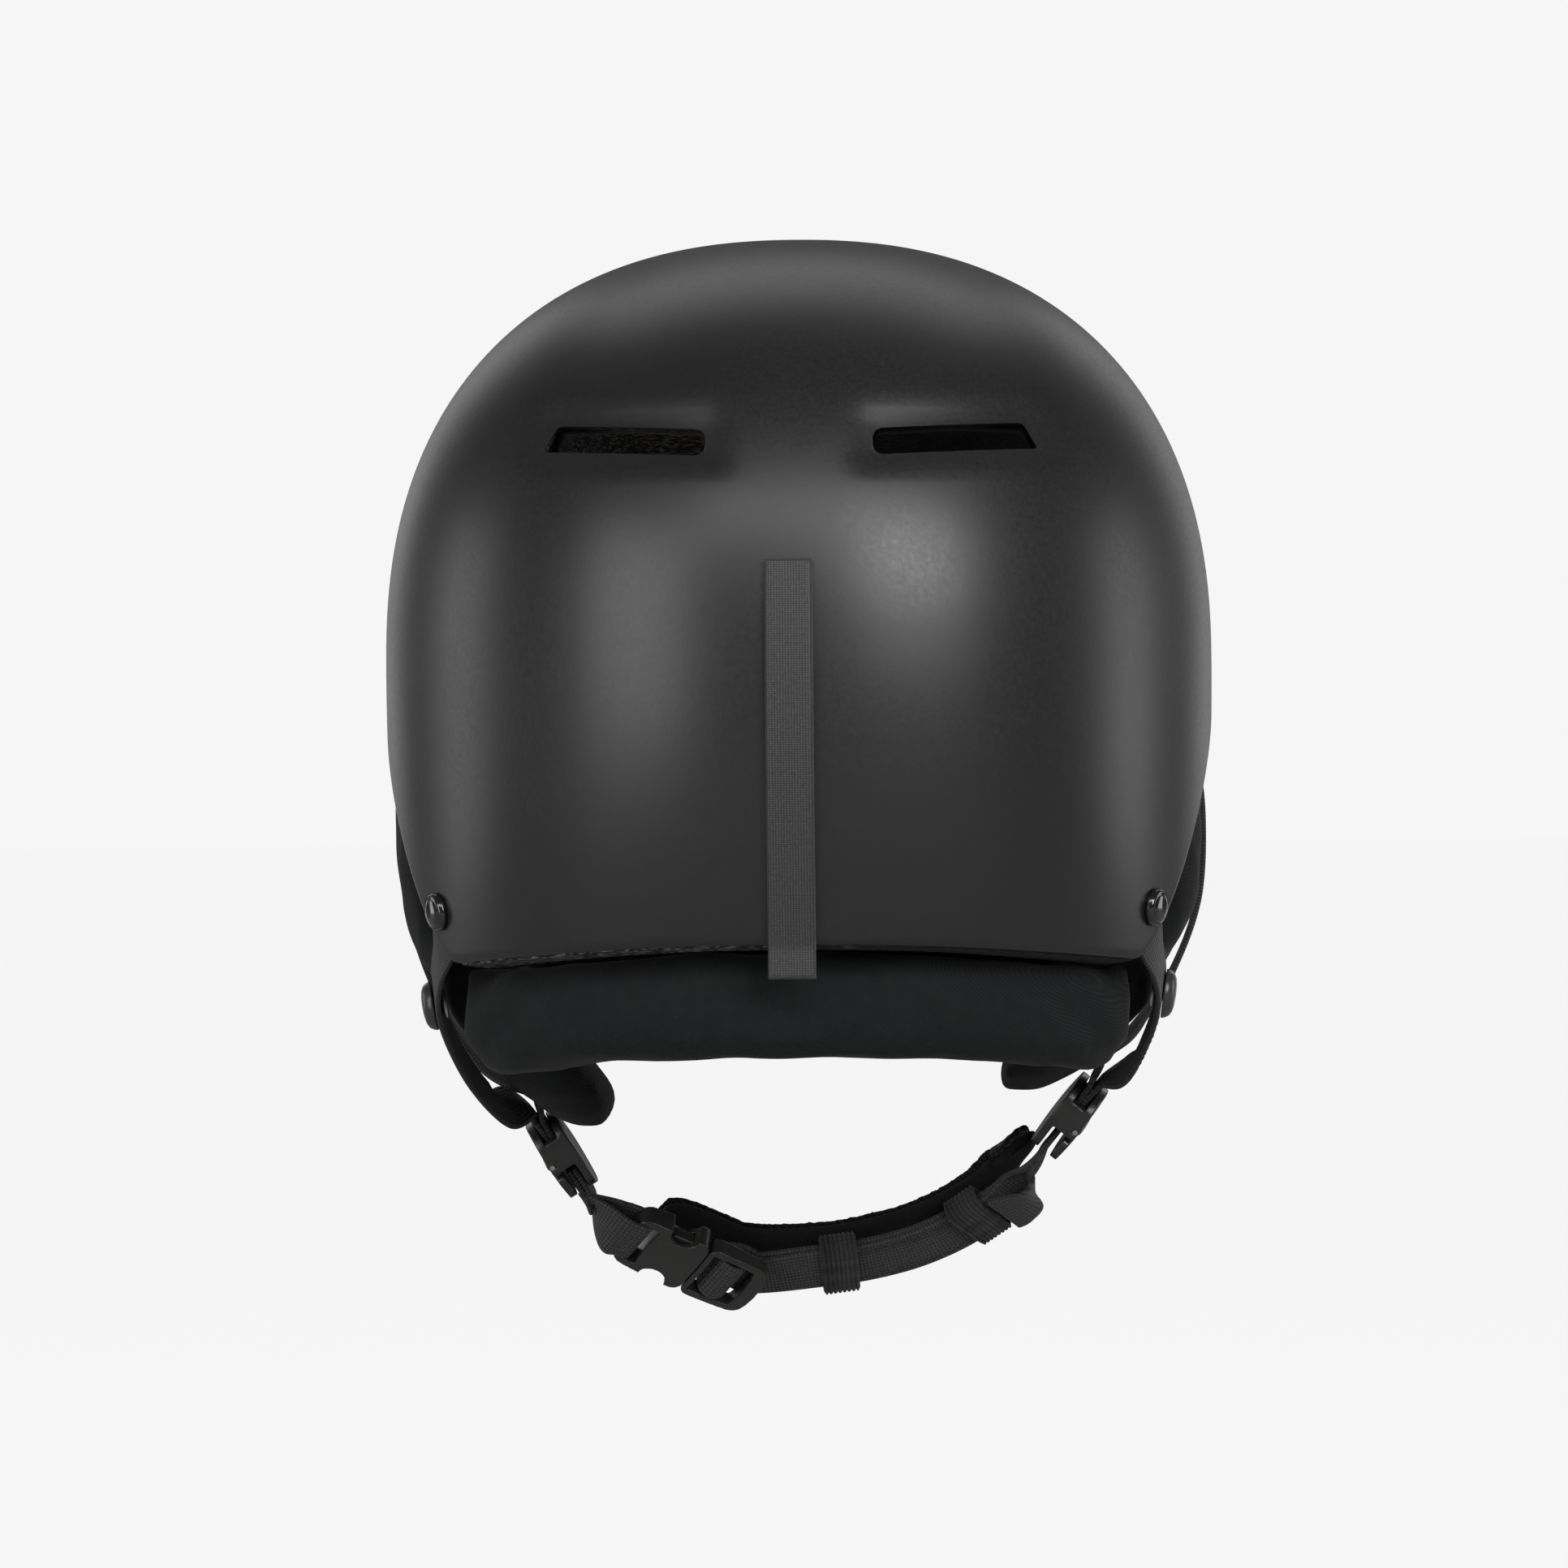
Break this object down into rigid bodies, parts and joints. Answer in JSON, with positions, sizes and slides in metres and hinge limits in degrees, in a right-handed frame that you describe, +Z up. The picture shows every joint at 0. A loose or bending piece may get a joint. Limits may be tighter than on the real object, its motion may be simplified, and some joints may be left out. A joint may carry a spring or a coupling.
{
  "type": "ski helmet",
  "caption": "Hard-shell ski helmet with foam liner, ear and neck pads, goggle strap, and a padded chin strap with a side-release buckle and hinged strap dividers",
  "frame": {"origin": "centre of the head space at the widest level of the shell, where the head seat mount lies", "axes": "+Z up through the crown, +Y towards the brow (front), +X to the wearer's right, seen from behind on the right"},
  "size_m": [0.22, 0.2765, 0.2898],
  "materials": {
    "shell": "satin black moulded ABS",
    "foam": "black expanded bead foam",
    "cloth": "black brushed twill over foam",
    "fleece": "black fleece pile",
    "webbing": "black woven webbing with ribbed edges",
    "strap_elastic": "dark grey elastic band",
    "rivet": "gloss black",
    "buckle": "satin black nylon",
    "steel": "plain steel",
    "snap": "satin dark olive cap"
  },
  "bodies": {
    "helmet": {"outer_shell": "shell", "eps_liner": "foam", "crown_pad": "cloth", "brow_pad": "cloth", "back_pad": "cloth", "side_pad_left": "cloth", "side_pad_right": "cloth", "neck_roll": "cloth", "ear_pad_left": "cloth", "ear_pad_right": "cloth", "goggle_strap_root": "strap_elastic", "goggle_strap_anchor": "rivet", "goggle_snap_stud": "steel", "strap_rivets": "rivet", "rivet_washers": "steel", "rear_strap_left": "webbing", "rear_strap_right": "webbing", "front_strap_left": "webbing", "front_strap_right": "webbing", "ear_snaps": "snap", "divider_base_left": "buckle", "divider_base_right": "buckle", "divider_pins": "steel", "stub_webbing": "webbing", "buckle_male": "buckle", "chin_webbing": "webbing", "elastic_keepers": "strap_elastic", "chin_pad": "cloth", "chin_pad_fleece": "fleece"},
    "goggle_strap_flap": {"goggle_strap": "strap_elastic", "goggle_snap_socket": "steel"},
    "buckle_socket": {"buckle_female": "buckle"},
    "arm_upper": {"buckle_arm_upper": "buckle"},
    "arm_lower": {"buckle_arm_lower": "buckle"},
    "flap_left": {"divider_flap_left": "buckle"},
    "flap_right": {"divider_flap_right": "buckle"}
  },
  "joints": [
    {"name": "goggle_strap_lift", "type": "hinge", "parent": "helmet", "child": "goggle_strap_flap", "pos_m": [0, -0.13906, 0.014], "axis": [-1, 0, 0], "range_deg": [0, 100]},
    {"name": "buckle_release", "type": "slide", "parent": "helmet", "child": "buckle_socket", "axis": [-0.8595, -0.3007, 0.4134], "range_m": [0, 0.01], "deforming": ["stub_webbing"]},
    {"name": "buckle_arm_upper_squeeze", "type": "hinge", "parent": "helmet", "child": "arm_upper", "pos_m": [-0.02824, 0.02183, -0.15652], "axis": [-0.0924, -0.7041, -0.7041], "range_deg": [0, 8], "stiffness_Nm_per_rad": 0.02},
    {"name": "buckle_arm_lower_squeeze", "type": "hinge", "parent": "helmet", "child": "arm_lower", "pos_m": [-0.03478, 0.03019, -0.16402], "axis": [0.0924, 0.7041, 0.7041], "range_deg": [0, 8], "stiffness_Nm_per_rad": 0.02},
    {"name": "divider_flap_left_open", "type": "hinge", "parent": "helmet", "child": "flap_left", "pos_m": [-0.06906, 0.01672, -0.13209], "axis": [-0.1508, 0.9587, 0.2413], "range_deg": [0, 80]},
    {"name": "divider_flap_right_open", "type": "hinge", "parent": "helmet", "child": "flap_right", "pos_m": [0.07521, 0.01666, -0.12318], "axis": [-0.209, -0.9409, -0.2665], "range_deg": [0, 80]}
  ],
  "couplings": [
    {"joint": "buckle_arm_lower_squeeze", "follows": "buckle_arm_upper_squeeze", "ratio": 1}
  ]
}
